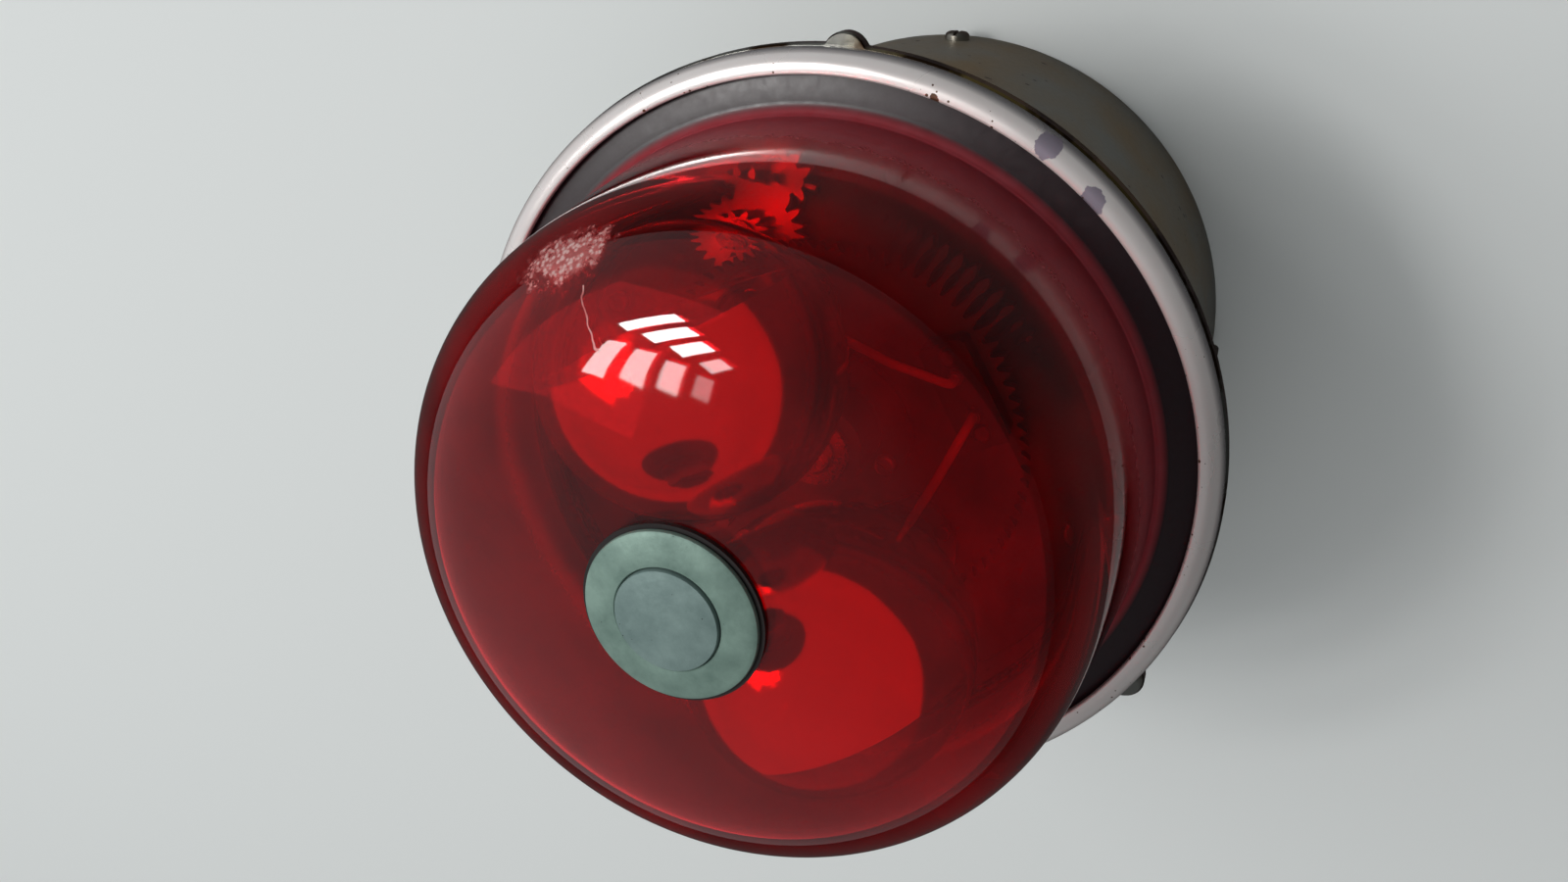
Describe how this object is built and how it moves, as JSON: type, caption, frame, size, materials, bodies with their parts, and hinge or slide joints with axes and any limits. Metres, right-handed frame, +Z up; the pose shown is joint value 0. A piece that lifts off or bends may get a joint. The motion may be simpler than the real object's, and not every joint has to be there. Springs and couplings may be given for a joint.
{
  "type": "rotating beacon lamp",
  "caption": "Cylindrical metal lamp housing with a flanged retaining ring and a red glass dome with a central tip plug, over turning silvered bulbs.",
  "frame": {"origin": "centre of the housing's bottom rim, which the lamp stands on", "axes": "+Z up along the lamp's axis towards the tip of the dome, X through both lamp bulbs at rest"},
  "size_m": [0.1468, 0.1489, 0.1583],
  "materials": {
    "housing_finish": "satin, worn",
    "flange_finish": "bright, tarnished",
    "ring_plating": "bright plating, worn",
    "red_glass": "deep red, polished",
    "seal_rubber": "matte",
    "plug_metal": "patinated",
    "zinc_steel": "zinc plated",
    "spring_steel": "satin",
    "gear_alloy": "machined",
    "brass_part": "satin",
    "copper_part": "satin copper",
    "black_moulding": "moulded, matte",
    "motor_black": "satin black",
    "carbon": "matte carbon",
    "clear_glass": "clear, polished",
    "silvering": "mirror",
    "wire_cover": "sleeved wire",
    "iron_core": "machined"
  },
  "bodies": {
    "lamp_base": {"base_housing": "housing_finish", "bottom_cover": "housing_finish", "cover_screws": "zinc_steel", "mounting_flange": "flange_finish", "lens_seat_gasket": "seal_rubber", "lens_dome": "red_glass", "lens_ring_strip": "seal_rubber", "retaining_ring": "ring_plating", "ring_screws": "zinc_steel", "plug_gasket": "seal_rubber", "plug_washer": "plug_metal", "plug_bolt": "plug_metal", "plug_inner_washer": "zinc_steel", "plug_nut": "zinc_steel", "chassis_plate": "gear_alloy", "chassis_brackets": "zinc_steel", "chassis_screws": "zinc_steel", "spindle": "spring_steel", "spindle_nut": "zinc_steel", "shaft_clips": "spring_steel", "thrust_washer": "brass_part", "idler_pin": "spring_steel", "motor_can": "motor_black", "motor_end_cap": "zinc_steel", "motor_posts": "brass_part", "motor_bearings": "brass_part", "motor_magnets": "iron_core", "brush_block": "black_moulding", "slip_brushes": "carbon", "brush_springs": "spring_steel", "connector_shell": "zinc_steel", "connector_screws": "zinc_steel", "connector_insert": "black_moulding", "connector_pins": "brass_part", "filter_can": "gear_alloy", "filter_clamp": "zinc_steel", "terminal_strip": "black_moulding", "strip_posts": "brass_part", "chassis_wiring": "wire_cover"},
    "carriage": {"carriage_hub": "gear_alloy", "hub_bushes": "brass_part", "hub_screws": "zinc_steel", "carriage_gear": "gear_alloy", "carriage_rivets": "brass_part", "slip_rings": "copper_part", "lead_block": "black_moulding", "lead_posts": "brass_part", "lamp_leads": "wire_cover", "balance_weight": "brass_part", "lamp_holders": "brass_part", "lamp_caps": "brass_part", "lamp_globes": "clear_glass", "lamp_mirrors": "silvering", "lamp_stems": "clear_glass", "lamp_filaments": "spring_steel"},
    "idler": {"idler_gear": "brass_part"},
    "motor_rotor": {"motor_shaft": "spring_steel", "motor_armature": "iron_core", "motor_pinion": "brass_part"}
  },
  "joints": [
    {"name": "carriage_spin", "type": "hinge", "parent": "lamp_base", "child": "carriage", "pos_m": [0, 0, 0.0833], "axis": [0, 0, 1], "continuous": true},
    {"name": "idler_spin", "type": "hinge", "parent": "lamp_base", "child": "idler", "pos_m": [0.04608, 0, 0.0737], "axis": [0, 0, 1], "continuous": true},
    {"name": "motor_spin", "type": "hinge", "parent": "lamp_base", "child": "motor_rotor", "pos_m": [0.028, 0, 0.0493], "axis": [0, 0, 1], "continuous": true}
  ],
  "couplings": [
    {"joint": "idler_spin", "follows": "carriage_spin", "ratio": -6.6667},
    {"joint": "motor_spin", "follows": "carriage_spin", "ratio": 13.333}
  ]
}
